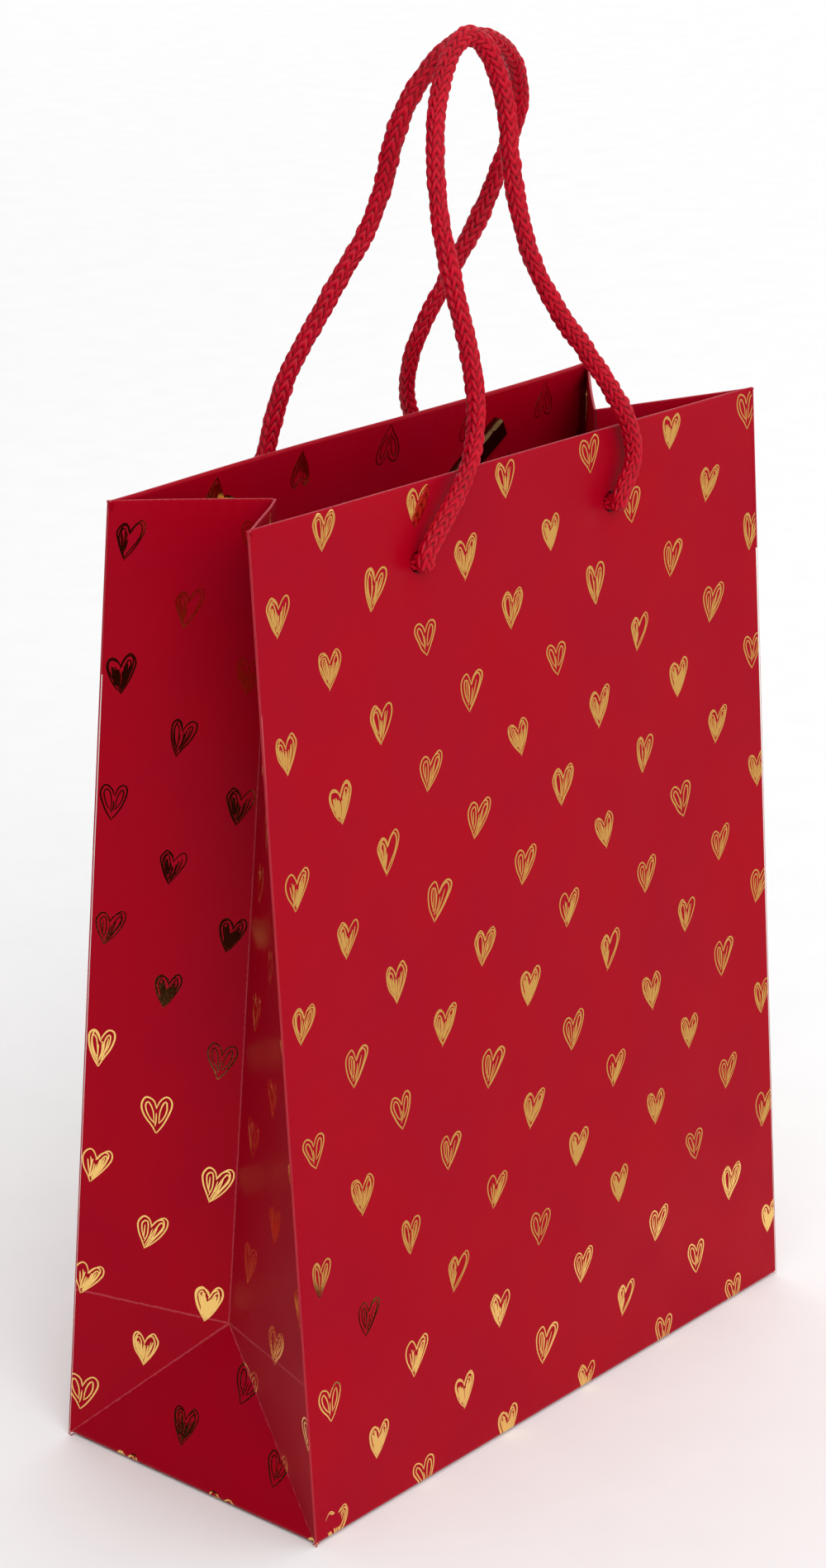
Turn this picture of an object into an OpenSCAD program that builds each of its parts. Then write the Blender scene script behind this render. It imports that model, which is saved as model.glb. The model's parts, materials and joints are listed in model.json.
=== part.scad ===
// Paper gift bag with two knitted cord handles, standing with its mouth part open.
// The base stands on z = 0, centred on the origin. +X is to the right of the
// front panel, +Y is to the back. The sides fold inwards as gussets.

/* [Bag] */
// Width of the front and back panels
bag_w = 180; // [160:1:220]
// Height of a panel, measured up its own slope
bag_h = 235; // [220:1:300]
// Depth of the base
bag_d = 80; // [70:1:100]
// How far the front panel's top edge leans in over the base
front_lean = 15.7; // [10:0.1:20]
// How far the back panel's top edge leans in over the base
back_lean = 18.5; // [10:0.1:20]

/* [Paper] */
// Thickness of the laminated paper
paper_t = 0.3; // [0.2:0.05:0.35]
// Depth of the hem that is turned in along the mouth
hem_h = 40; // [32:1:60]
// Width of the hem strip between the two gussets
hem_w = 171; // [120:1:172]
// Depth of each bottom flap, from its crease
flap_d = 50; // [44:1:55]
// Width of the side seam's glue flap
glue_flap_w = 14; // [8:1:20]

/* [Cards] */
// Thickness of the reinforcement card inside each hem
card_t = 0.8; // [0.5:0.1:0.8]
// Height of the reinforcement card
card_h = 33; // [28:1:36]
// Length of the loose base board
board_w = 170; // [130:1:170]
// Depth of the loose base board
board_d = 76; // [60:1:76]
// Thickness of the loose base board
board_t = 1.2; // [0.8:0.1:1.6]

/* [Handles] */
// Diameter of the knitted cord
cord_d = 4.5; // [4:0.1:4.6]
// Diameter of the punched holes
hole_d = 5; // [4.8:0.1:6]
// Distance between the two holes of a panel
hole_pitch = 70; // [60:1:80]
// How far the pair of holes sits to the right of the panel's middle
hole_shift = -2; // [-3:0.5:3]
// Distance of the holes below the mouth
hole_drop = 17.5; // [15:0.5:20]
// Length of the metal clip on each cord end
clip_l = 26; // [20:1:30]
// Width of the metal clip
clip_w = 5.3; // [5:0.1:7]
// Thickness of the metal clip
clip_t = 2.6; // [2.4:0.1:3.2]

/* [Hidden] */
$fn = 48;
red = "crimson";
gap = 0.05;              // air between layers that are glued together
hem_gap = 0.3;           // air between the twisted layers of a gusset and its hem
crease_gap = 1.8;        // a gusset's edge stays this far off a panel's crease
fold_gap = 0.35;         // two halves of a gusset stay this far off their fold
hem_inset = 5.5;         // a gusset's hem starts this far from a panel's crease
flap_edge = 1;           // bottom flaps stay this far inside the creases
bend_out = 4;            // the cord bends upwards this far outside the panel
seat_depth = 1.2;        // depth of the cord's seat in a clip
corner_shrink = 0.06;    // corner triangles shrink by this share of their size
side_shrink = 0.03;      // side triangles shrink by this share of their size
strips = 24;             // strips in a twisted gusset sheet
hem_strips = 5;          // strips of that height in a gusset's hem
cord_sides = 8;          // flats round a cord
clip_reach = 18;         // a clip's long arm, measured from its cord
front_clip_turns = [25, -40];   // turn of each front clip, left then right
back_clip_turns = [150, 30];    // turn of each back clip, left then right

half_w = bag_w / 2;
half_d = bag_d / 2;
front_tilt = asin(front_lean / bag_h);
back_tilt = asin(back_lean / bag_h);
panel_low = 3 * paper_t;                 // panels start above the bottom flaps
card_y = paper_t + gap;                  // depth of the card behind the panel's face
hem_y = card_y + card_t + gap;           // depth of the hem behind the panel's face
clip_y = hem_y + paper_t + 2 * gap;      // depth of the clip behind the panel's face
hole_v = bag_h - hole_drop;              // height of the holes up the panel
strip_h = (bag_h - half_d - 1) / strips; // height of one strip of a gusset
hole_xs = [hole_shift - hole_pitch / 2, hole_shift + hole_pitch / 2];

// Lean of a panel's top edge: side is 1 at the front and -1 at the back
function lean(side) = side > 0 ? front_lean : back_lean;

// Point on a left vertical crease, a distance v up the panel
function crease(side, v) = let (s = lean(side), rise = sqrt(bag_h * bag_h - s * s))
    [-half_w, side * (s * v / bag_h - half_d), rise * v / bag_h];

// Apex of the left side triangle, half the base depth from the base crease
mean_lean = (front_lean + back_lean) / 2;
mean_tilt = asin(mean_lean / bag_h);
apex_z = half_d * (1 - sin(mean_tilt)) / cos(mean_tilt);
apex_x = sqrt(half_d * half_d - apex_z * apex_z);
apex = [apex_x - half_w, 0, apex_z];

// Inner end of the left gusset's fold at the mouth
mouth_half = half_d - mean_lean;
tip_drop = 3.1;
tip_x = sqrt(half_d * half_d - mouth_half * mouth_half - tip_drop * tip_drop);
tip = [tip_x - half_w, (front_lean - back_lean) / 2, crease(1, bag_h).z - tip_drop];

// Point on the left gusset's centre fold, level with height v up the panels
function fold(v) = apex + (tip - apex) * (v - half_d) / (bag_h - half_d);

// The routes start and end beside the pivot line of their handle, and their
// heights and depths are measured from it. Depth is positive into the bag.
front_route = [
    [-35.2, -0.1, 2], [-31, 0.2, 7.5], [-26, 0.9, 14], [-20.5, 2.1, 21.5],
    [-16.5, 4.5, 31], [-15, 7.7, 42], [-15, 11, 52.5], [-15.5, 13.7, 62.5],
    [-15, 16.5, 72.5], [-13, 19.2, 82], [-10, 21.7, 91], [-5, 24.1, 99.5],
    [0.5, 25.6, 105], [6.5, 26.4, 108], [11.5, 26, 106], [14.5, 24.3, 100.5],
    [14.5, 21.7, 91.5], [12.5, 18.7, 80.5], [11.5, 15.5, 69.5], [13, 12.1, 57.5],
    [18, 9, 46.5], [24.5, 6.2, 37], [31, 3.9, 27.5], [36, 1.9, 18.5],
    [38, 0.8, 9.5], [35, -0.1, 2]
];
back_route = [
    [-36.6, -0.1, 2.7], [-34.5, 0.3, 9], [-31.5, 1.5, 17], [-30, 3.3, 25.5],
    [-27, 5.3, 34.5], [-21.5, 8.1, 44.5], [-15.5, 10.7, 54.5], [-9.5, 13.5, 64.5],
    [-6.5, 15.9, 74.5], [-5.5, 18.1, 84.5], [-3, 20.1, 93], [2, 21.9, 100.5],
    [8, 23.1, 105.8], [15, 23.7, 108], [22.5, 23.5, 106.8], [29.5, 22.5, 103],
    [35, 21, 97], [38, 19.4, 89.5], [37.5, 17.4, 81.5], [35.5, 15.3, 73],
    [32.5, 13, 64], [28, 10.9, 55.5], [23, 8.7, 46.5], [18.5, 6.3, 37.5],
    [16.5, 3.9, 28], [18.5, 1.7, 18.5], [23.5, 0.4, 10.5], [31, -0.1, 2]
];

// A panel's own frame: x across, y into the bag from the printed face, z up the panel
module on_front() {
    translate([0, -half_d, 0]) rotate([-front_tilt, 0, 0]) children();
}

module on_back() {
    translate([0, half_d, 0]) rotate([back_tilt, 0, 0]) mirror([0, 1, 0]) children();
}

// Flat sheet in a panel's frame with the two punched holes
module punched_sheet(width, low, high, depth, thickness) {
    difference() {
        translate([-width / 2, depth, low]) cube([width, thickness, high - low]);
        for (x = hole_xs)
            translate([x, depth - 1, hole_v]) rotate([-90, 0, 0])
                cylinder(d = hole_d, h = thickness + 2);
    }
}

// Solid through a list of rings that each run anticlockwise about their direction.
// The second half of a ring is split along its other diagonals, so that the two
// faces of a twisted sheet stay parallel.
module loft(rings) {
    n = len(rings[0]);
    last = len(rings) - 1;
    points = [for (ring = rings) each ring];
    sides = [
        for (i = [0 : last - 1], k = [0 : n - 1])
            let (a = i * n + k, b = i * n + (k + 1) % n, c = a + n, d = b + n)
                each (k < n / 2 ? [[a, c, d], [a, d, b]] : [[a, c, b], [c, d, b]])
    ];
    start_cap = [for (k = [0 : n - 1]) k];
    end_cap = [for (k = [n - 1 : -1 : 0]) last * n + k];
    polyhedron(points = points, faces = concat([start_cap], sides, [end_cap]));
}

function unit(v) = v / norm(v);

// One ring of a gusset sheet: the panel's edge, the fold, then both pushed inwards
function sheet_ring(side, v, edge_inset, depth) =
    let (
        a = crease(side, v), b = fold(v), across = unit(b - a),
        inward = unit(side * cross(across, tip - apex)),
        p = a + across * edge_inset, q = b - across * fold_gap,
        ring = [p, q, q + inward * paper_t, p + inward * paper_t]
    )
    [for (k = [0 : 3]) ring[side > 0 ? 3 - k : k] + inward * depth];

// Half of the left gusset: a count of strips down from the mouth, behind the
// printed face by depth
module gusset_sheet(side, count, edge_inset, depth) {
    loft([for (i = [count : -1 : 0])
        sheet_ring(side, bag_h - i * strip_h, edge_inset, depth)]);
}

// Triangle of paper, thickened towards +X and shrunk about its centre
module triangle_sheet(a, b, c, shrink) {
    turned = cross(b - a, c - a).x > 0;
    p = turned ? [a, b, c] : [a, c, b];
    inward = unit(cross(p[1] - p[0], p[2] - p[0]));
    centre = (a + b + c) / 3;
    outer = [for (q = p) q + (centre - q) * shrink];
    loft([outer, [for (q = outer) q + inward * paper_t]]);
}

module corner_triangle(side) {
    triangle_sheet(crease(side, 0), crease(side, half_d), apex, corner_shrink);
}

module side_triangle() {
    triangle_sheet(crease(1, 0), crease(-1, 0), apex, side_shrink);
}

// Trapezium that narrows at 45 degrees from a crease of the given length along X
module flap_outline(length) {
    far = length / 2 - flap_d;
    polygon([[-length / 2, 0], [length / 2, 0], [far, flap_d], [-far, flap_d]]);
}

// One ring of a cord, square to its direction
function cord_ring(path, i) =
    let (
        along = unit(path[min(i + 1, len(path) - 1)] - path[max(i - 1, 0)]),
        u = unit(cross([0, 1, 0], along)), w = cross(along, u)
    )
    [for (k = [0 : cord_sides - 1]) let (a = 360 * k / cord_sides)
        path[i] + cord_d / 2 * (cos(a) * u + sin(a) * w)];

module cord(path) {
    loft([for (i = [0 : len(path) - 1]) cord_ring(path, i)]);
}

// Pivot line of a handle: the middle of the bend just outside the panel
function pivot(side) = let (tilt = asin(lean(side) / bag_h))
    [0, side * (hole_v * sin(tilt) - bend_out * cos(tilt) - half_d),
     hole_v * cos(tilt) + bend_out * sin(tilt)];

function placed(route, side) =
    [for (p = route) pivot(side) + [p.x, side * p.y, p.z]];

// Cord from its seat in the clip, out through the hole to the round of its bend
module cord_end(x) {
    seat_y = clip_y + seat_depth - gap;
    translate([x, -bend_out, hole_v]) {
        rotate([-90, 0, 0]) cylinder(d = cord_d, h = bend_out + seat_y);
        sphere(d = cord_d);
    }
}

// Metal clip that lies against the hem, with a seat for the cord
module clip(x, turn) {
    translate([x, clip_y, hole_v]) rotate([0, -turn, 0]) rotate([-90, 0, 0])
        difference() {
            linear_extrude(clip_t) hull() {
                translate([clip_reach - clip_w / 2, 0]) circle(d = clip_w);
                translate([clip_reach - clip_l + clip_w / 2, 0]) circle(d = clip_w);
            }
            translate([0, 0, -1]) cylinder(d = cord_d + 2 * gap, h = seat_depth + 1);
        }
}

module front_panel() {
    color(red) on_front() punched_sheet(bag_w, panel_low, bag_h, 0, paper_t);
}

module back_panel() {
    color(red) on_back() punched_sheet(bag_w, panel_low, bag_h, 0, paper_t);
}

module front_hem() {
    color(red) on_front() punched_sheet(hem_w, bag_h - hem_h, bag_h, hem_y, paper_t);
}

module back_hem() {
    color(red) on_back() punched_sheet(hem_w, bag_h - hem_h, bag_h, hem_y, paper_t);
}

module card() {
    punched_sheet(hem_w - 1, bag_h - card_h - 1, bag_h - 1, card_y, card_t);
}

module front_card() {
    color("lightgray") on_front() card();
}

module back_card() {
    color("lightgray") on_back() card();
}

// The sheet's end, glued inside the back panel along the right crease
module side_seam_flap() {
    right = half_w - 2.5;
    color("mistyrose") on_back()
        translate([right - glue_flap_w, card_y, half_d + 2])
            cube([glue_flap_w, paper_t, bag_h - hem_h - half_d - 4]);
}

module left_front_gusset() {
    color(red) gusset_sheet(1, strips, crease_gap, 0);
}

module left_back_gusset() {
    color(red) gusset_sheet(-1, strips, crease_gap, 0);
}

module right_front_gusset() {
    color(red) mirror([1, 0, 0]) gusset_sheet(1, strips, crease_gap, 0);
}

module right_back_gusset() {
    color(red) mirror([1, 0, 0]) gusset_sheet(-1, strips, crease_gap, 0);
}

module gusset_hem(side) {
    gusset_sheet(side, hem_strips, hem_inset, paper_t + hem_gap);
}

module left_front_hem() {
    color(red) gusset_hem(1);
}

module left_back_hem() {
    color(red) gusset_hem(-1);
}

module right_front_hem() {
    color(red) mirror([1, 0, 0]) gusset_hem(1);
}

module right_back_hem() {
    color(red) mirror([1, 0, 0]) gusset_hem(-1);
}

module left_front_corner() {
    color(red) corner_triangle(1);
}

module left_back_corner() {
    color(red) corner_triangle(-1);
}

module right_front_corner() {
    color(red) mirror([1, 0, 0]) corner_triangle(1);
}

module right_back_corner() {
    color(red) mirror([1, 0, 0]) corner_triangle(-1);
}

module left_side_triangle() {
    color(red) side_triangle();
}

module right_side_triangle() {
    color(red) mirror([1, 0, 0]) side_triangle();
}

// The outermost flap, which the bag stands on
module bottom_back_flap() {
    color(red) translate([0, half_d - flap_edge, 0]) mirror([0, 1, 0])
        linear_extrude(paper_t) flap_outline(bag_w - 2 * flap_edge);
}

module bottom_front_flap() {
    color(red) translate([0, flap_edge - half_d, paper_t])
        linear_extrude(paper_t) flap_outline(bag_w - 2 * flap_edge);
}

// Inner flap from a side crease, with its free corners cut off
module side_flap() {
    crease_half = half_d - flap_edge;
    translate([flap_edge - half_w, 0, 2 * paper_t]) linear_extrude(paper_t)
        polygon([
            [0, -crease_half], [flap_d - crease_half / 2, -crease_half],
            [flap_d, -crease_half / 2], [flap_d, crease_half / 2],
            [flap_d - crease_half / 2, crease_half], [0, crease_half]
        ]);
}

module bottom_left_flap() {
    color(red) side_flap();
}

module bottom_right_flap() {
    color(red) mirror([1, 0, 0]) side_flap();
}

module base_board() {
    color("gainsboro") translate([-board_w / 2, -board_d / 2, panel_low + 2 * gap])
        cube([board_w, board_d, board_t]);
}

module front_handle_cord() {
    color(red) cord(placed(front_route, 1));
}

module back_handle_cord() {
    color(red) cord(placed(back_route, -1));
}

module front_left_cord_end() {
    color(red) on_front() cord_end(hole_xs[0]);
}

module front_right_cord_end() {
    color(red) on_front() cord_end(hole_xs[1]);
}

module back_left_cord_end() {
    color(red) on_back() cord_end(hole_xs[0]);
}

module back_right_cord_end() {
    color(red) on_back() cord_end(hole_xs[1]);
}

module front_left_clip() {
    color("goldenrod") on_front() clip(hole_xs[0], front_clip_turns[0]);
}

module front_right_clip() {
    color("goldenrod") on_front() clip(hole_xs[1], front_clip_turns[1]);
}

module back_left_clip() {
    color("goldenrod") on_back() clip(hole_xs[0], back_clip_turns[0]);
}

module back_right_clip() {
    color("goldenrod") on_back() clip(hole_xs[1], back_clip_turns[1]);
}

front_panel();
back_panel();
front_hem();
back_hem();
front_card();
back_card();
side_seam_flap();
left_front_gusset();
left_back_gusset();
right_front_gusset();
right_back_gusset();
left_front_hem();
left_back_hem();
right_front_hem();
right_back_hem();
left_front_corner();
left_back_corner();
right_front_corner();
right_back_corner();
left_side_triangle();
right_side_triangle();
bottom_back_flap();
bottom_front_flap();
bottom_left_flap();
bottom_right_flap();
base_board();
front_handle_cord();
back_handle_cord();
front_left_cord_end();
front_right_cord_end();
back_left_cord_end();
back_right_cord_end();
front_left_clip();
front_right_clip();
back_left_clip();
back_right_clip();
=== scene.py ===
"""Looks of the gift bag: creased laminated paper, foil hearts, knitted cords and metal clips."""

import json
import math
import random

import bpy
import numpy as np
from mathutils import Matrix, Vector
from mathutils.geometry import delaunay_2d_cdt


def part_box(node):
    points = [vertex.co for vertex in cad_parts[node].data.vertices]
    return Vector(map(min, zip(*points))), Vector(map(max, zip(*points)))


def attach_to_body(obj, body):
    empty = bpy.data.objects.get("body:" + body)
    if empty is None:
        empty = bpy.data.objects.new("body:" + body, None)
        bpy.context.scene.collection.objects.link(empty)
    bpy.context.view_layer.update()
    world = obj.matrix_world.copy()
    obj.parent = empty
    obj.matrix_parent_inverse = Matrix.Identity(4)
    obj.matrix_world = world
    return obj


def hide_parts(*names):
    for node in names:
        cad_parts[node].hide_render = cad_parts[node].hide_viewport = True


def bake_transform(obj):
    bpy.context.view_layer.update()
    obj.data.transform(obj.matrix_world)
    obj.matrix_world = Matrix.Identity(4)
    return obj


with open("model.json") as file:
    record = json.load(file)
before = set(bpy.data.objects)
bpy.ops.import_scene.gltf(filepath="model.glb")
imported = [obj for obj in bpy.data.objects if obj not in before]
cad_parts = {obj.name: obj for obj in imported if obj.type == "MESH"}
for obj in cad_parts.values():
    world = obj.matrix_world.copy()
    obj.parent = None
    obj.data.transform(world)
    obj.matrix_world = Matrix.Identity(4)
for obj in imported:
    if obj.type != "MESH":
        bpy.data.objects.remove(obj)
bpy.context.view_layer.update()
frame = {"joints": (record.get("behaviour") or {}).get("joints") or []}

MM = 0.001  # the shapes below are worked out in millimetres

# The CAD's sizes, in millimetres.
HALF_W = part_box("front_panel")[1].x / MM
HALF_D = 40.0
BAG_H = 235.0
LEAN = {1: 15.7, -1: 18.5}  # of the front (1) and back (-1) panels' top edges, inwards
PAPER = 0.3
CARD_DEPTH = 0.35
CARD_T = 0.8
HEM_END = 195.0  # height of the hem's cut edge up the panel
HOLE_V = 217.5
HOLE_XS = (-37.0, 33.0)
HOLE_R = 2.5
HEM_HALF_W = 85.5
PANEL_ROLL = 0.75  # radius of a panel's rolled mouth, which holds the card
GUSSET_ROLL = 0.33  # radius of a gusset's rolled mouth
ROLL_DROP = 0.42  # how much tighter a panel's mouth rolls past the card's ends
FOOT_ROLL = 1.0  # radius of the crease at the foot
FLAP_Z = {1: 0.3, -1: 0.0}  # undersides of the front and back bottom flaps
SIDE_FLAP_Z = 0.6
CORD_D = 4.5
CLIP_DEPTH = 1.6
APEX = np.array([-75.267, 0.0, 37.19])  # top of the left side triangle
TIP = np.array([-57.35, -1.4, 231.37])  # inner end of the left gusset's fold
BACK_TWIST = 4.6  # how far the back panel's top corners swing out of its plane

HINGES = {j["name"]: j for j in frame["joints"]}
SIDES = ((1, "front"), (-1, "back"))
HANDS = ((-1, "left"), (1, "right"))


# ---- camera

def new_object(name, data):
    obj = bpy.data.objects.new(name, data)
    bpy.context.scene.collection.objects.link(obj)
    return obj


CAMERA_AT = (-0.6155, -0.5206, 0.4251)
CAMERA_TURN = (-49.35, 18.83, -0.12)  # degrees round Z, downwards and about the view
CAMERA_LENS = 156.2
SENSOR = 36


def look_through_lens():
    """The camera at the photograph's angle."""
    turn, drop, roll = (math.radians(x) for x in CAMERA_TURN)
    flat = math.cos(drop)
    ahead = Vector((-math.sin(turn) * flat, math.cos(turn) * flat, -math.sin(drop)))
    level = Vector((math.cos(turn), math.sin(turn), 0))
    above = level.cross(ahead)
    right = level * math.cos(roll) + above * math.sin(roll)
    up = above * math.cos(roll) - level * math.sin(roll)
    data = bpy.data.cameras.new("camera")
    data.sensor_fit = "HORIZONTAL"
    data.sensor_width = SENSOR
    data.lens = CAMERA_LENS
    camera = new_object("camera", data)
    camera.matrix_world = Matrix((right, up, -ahead)).transposed().to_4x4()
    camera.location = CAMERA_AT
    bpy.context.scene.camera = camera


look_through_lens()


# ---- materials

class Look:
    """A new material, and short calls for its nodes. An input is a number, a colour or a socket."""

    def __init__(self, name):
        self.mat = bpy.data.materials.new(name)
        self.mat.use_nodes = True
        self.tree = self.mat.node_tree
        self.shader = self.tree.nodes["Principled BSDF"]

    def put(self, node, inputs):
        """Links the sockets to a node's inputs, and sets the other values on the inputs."""
        for key, x in inputs.items():
            if isinstance(x, bpy.types.NodeSocket):
                self.tree.links.new(x, node.inputs[key])
            else:
                node.inputs[key].default_value = (*x, 1) if isinstance(x, tuple) else x
        return node

    def add(self, kind, inputs):
        return self.put(self.tree.nodes.new(kind), inputs)

    def attribute(self, name, output="Vector"):
        node = self.tree.nodes.new("ShaderNodeAttribute")
        node.attribute_name = name
        return node.outputs[output]

    def noise(self, coords, scale, detail=3.0, roughness=0.55):
        inputs = {"Vector": coords, "Scale": scale, "Detail": detail, "Roughness": roughness}
        return self.add("ShaderNodeTexNoise", inputs).outputs["Fac"]

    def remap(self, x, low, high, to_low, to_high):
        inputs = {"From Min": low, "From Max": high, "To Min": to_low, "To Max": to_high}
        return self.add("ShaderNodeMapRange", {"Value": x, **inputs}).outputs["Result"]

    def spread(self, x, low=0, high=1):
        """A noise from low to high over the range that most of it is in."""
        return self.remap(x, 0.3, 0.7, low, high)

    def mix(self, share, a, b):
        """Colour a to b by share."""
        node = self.tree.nodes.new("ShaderNodeMix")
        node.data_type = "RGBA"
        return self.put(node, {0: share, 6: a, 7: b}).outputs[2]

    def maths(self, operation, a, b):
        node = self.tree.nodes.new("ShaderNodeMath")
        node.operation = operation
        return self.put(node, {0: a, 1: b}).outputs[0]

    def shade(self, colour, roughness, others, relief=None):
        """Fills in the shader. relief is a height with its distance in metres and strength."""
        self.put(self.shader, {"Base Color": colour, "Roughness": roughness, **others})
        if relief:
            inputs = dict(zip(("Height", "Distance", "Strength"), relief))
            normal = self.add("ShaderNodeBump", inputs).outputs["Normal"]
            self.put(self.shader, {"Normal": normal})
        return self.mat


def worn_creases(m, ragged):
    """How worn the print is along the creases, with a painted highlight on their rounded edges, from 0 to
    1, from the distances to up to six creases.
    """
    total = 0.0
    for half in ("a", "b"):
        gaps, wear_and_highlight = (
            m.add("ShaderNodeSeparateXYZ", {0: m.attribute(f"crease_{kind}_{half}")}).outputs
            for kind in ("gaps", "wear_and_highlight")
        )
        for gap, strength in zip(gaps, wear_and_highlight):
            near = m.remap(m.maths("ADD", gap, ragged), 0.12, 0.34, 1, 0)
            total = m.maths("MAXIMUM", total, m.maths("MULTIPLY", near, strength))
    return total


def laminated_red():
    """Printed and laminated face: satin red that goes pale and rough along its creases; the pale line is
    partly wear and partly a painted highlight on the rounded crease.
    """
    m = Look("laminated_red")
    flat = m.attribute("sheet")
    cloud = m.noise(flat, 0.03, 2.0)
    grain = m.noise(flat, 2.2, 4.0, 0.65)
    pale_wear_and_highlight = worn_creases(m, m.spread(m.noise(flat, 1.4, 4.0), -0.14, 0.16))
    base = m.mix(m.spread(cloud), (0.335, 0.0, 0.008), (0.3, 0.0, 0.011))
    base = m.mix(m.remap(grain, 0.35, 0.75, 0, 0.2), base, (0.4, 0.0, 0.012))
    # painted highlight and wear: the print goes pale pink along the creases
    base = m.mix(pale_wear_and_highlight, base, (0.52, 0.1, 0.12))
    rough = m.maths("ADD", m.spread(grain, 0.32, 0.4), m.maths("MULTIPLY", pale_wear_and_highlight, 0.25))
    rough = m.maths("ADD", rough, m.remap(cloud, 0.35, 0.65, -0.05, 0.1))
    return m.shade(base, rough, {"Specular IOR Level": 0.05}, (grain, 0.00005, 0.35))


def plain_paper():
    """Unprinted inner face: soft white fibres."""
    m = Look("plain_paper")
    fibre = m.noise(m.attribute("sheet"), 3.0, 5.0, 0.7)
    base = m.mix(m.spread(fibre), (0.78, 0.76, 0.72), (0.86, 0.85, 0.82))
    rough = m.spread(fibre, 0.85, 0.95)
    return m.shade(base, rough, {"Specular IOR Level": 0.25}, (fibre, 0.00008, 0.5))


def grey_board(name, dark, light):
    """Recycled card: grey with paler and darker specks."""
    m = Look(name)
    flat = m.attribute("sheet")
    fibre = m.noise(flat, 1.6, 6.0, 0.75)
    specks = m.remap(m.noise(flat, 4.5, 2.0), 0.66, 0.72, 0, 0.5)
    base = m.mix(specks, m.mix(m.spread(fibre), dark, light), (0.18, 0.16, 0.14))
    return m.shade(base, m.spread(fibre, 0.8, 0.92), {}, (fibre, 0.0001, 0.6))


def knitted_red():
    """Knitted polypropylene yarn: glossy, with a painted highlight in paler red on top of each stitch and
    painted shade in deep red between them.
    """
    m = Look("knitted_red")
    height = m.attribute("height", "Fac")
    fibre = m.noise(m.attribute("yarn"), 1.0, 3.0, 0.6)
    # painted shade: near-black red in the grooves between the stitches
    base = m.mix(m.remap(height, 0.18, 0.56, 0, 1), (0.05, 0.0, 0.001), (0.42, 0.0, 0.012))
    # painted highlight: paler red on the tops of the stitches
    base = m.mix(m.remap(height, 0.62, 0.95, 0, 0.4), base, (0.62, 0.003, 0.025))
    base = m.mix(m.remap(fibre, 0.4, 0.75, 0, 0.25), base, (0.66, 0.003, 0.025))
    rough = m.spread(fibre, 0.28, 0.42)
    return m.shade(base, rough, {"Specular IOR Level": 0.13}, (fibre, 0.0001, 0.6))


def metal(name, colour, scale, low, high, distance, strength):
    """Metal whose roughness runs from low to high with a grain, over an uneven surface."""
    m = Look(name)
    grain = m.noise(m.attribute("sheet"), scale, 4.0, 0.6)
    relief = (grain, distance, strength)
    return m.shade(colour, m.spread(grain, low, high), {"Metallic": 1}, relief)


RED = laminated_red()
WHITE = plain_paper()
GOLD = metal("gold_foil", (0.89, 0.565, 0.17), 2.0, 0.05, 0.15, 0.00003, 0.12)
CARD = grey_board("hem_card", (0.42, 0.4, 0.36), (0.52, 0.5, 0.46))
BOARD = grey_board("base_card", (0.5, 0.49, 0.47), (0.6, 0.59, 0.56))
YARN = knitted_red()
# painted shade: the clips' metal is near black with a red tint, standing for the dark inside of the bag
# that their polish reflects
CLIP_METAL_PAINTED_DARK = metal("clip_metal_painted_dark", (0.12, 0.065, 0.025), 1.5, 0.12, 0.26, 0.00006, 0.4)


# ---- surfaces
# A sheet coordinate (a, b) is a point on the flat printed sheet, in millimetres: a runs round
# the bag as seen from outside and b runs up it, on over the mouth and down the hem. Each
# place function turns a, b and a depth behind the printed face into points in space.

def ripple(seed, a, b, size, waves=7):
    """Smooth random height, about -1 to 1, with waves of about that size."""
    rng = random.Random(seed)
    total = np.zeros_like(a)
    for _ in range(waves):
        angle, length = rng.uniform(0, math.tau), size * rng.uniform(0.7, 1.6)
        along = a * math.cos(angle) + b * math.sin(angle)
        total += np.sin(along * math.tau / length + rng.uniform(0, math.tau))
    return total / math.sqrt(waves)


def smooth(x, low, high):
    t = np.clip((x - low) / (high - low), 0, 1)
    return t * t * (3 - 2 * t)


def unit(v):
    return v / np.linalg.norm(v, axis=-1, keepdims=True)


def profile(s, d, roll, low=None, foot=FOOT_ROLL, end=math.pi / 2):
    """Height up a panel and depth behind it, for a point s along the sheet and d behind its print.
    The sheet rolls over at the mouth by radius roll, and under at the foot by radius foot."""
    start = BAG_H - roll
    over = np.clip((s - start) / roll, 0, math.pi)
    past = np.maximum(s - start - math.pi * roll, 0)
    up = s <= start
    v = np.where(up, s, start + (roll - d) * np.sin(over) - past)
    depth = np.where(up, d, roll - (roll - d) * np.cos(over))
    if low is not None:
        base = low + foot
        under = np.clip((base - s) / foot, 0, end)
        past = np.maximum(base - s - foot * end, 0)
        down = s < base
        v = np.where(down, base - (foot - d) * np.sin(under) - past * math.cos(end), v)
        depth = np.where(down, foot - (foot - d) * np.cos(under) + past * math.sin(end), depth)
    return v, depth


def crease(side, hand, v):
    """The crease at the front (side 1) or back (-1), on the left (hand -1) or right (1)."""
    lean = LEAN[side]
    z = math.sqrt(BAG_H**2 - lean**2) * v / BAG_H
    y = side * (lean * v / BAG_H - HALF_D)
    if side < 0:
        y = y + hand * BACK_TWIST * z / BAG_H
    return np.stack([np.full_like(z, hand * HALF_W), y, z], -1)


def mirror(point, hand):
    """A point of the left side, moved to the right side where hand is 1."""
    return point * np.array([-hand, 1, 1])


def fold(hand, v):
    """A gusset's centre fold, level with height v up the panels."""
    t = ((v - HALF_D) / (BAG_H - HALF_D))[..., None]
    return mirror(APEX + (TIP - APEX) * t, hand)


def panel_roll(a):
    """Radius of a panel's rolled mouth: it holds the card, and closes past the card's ends."""
    return PANEL_ROLL - ROLL_DROP * smooth(np.abs(a), 83.5, 88.5)


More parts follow.
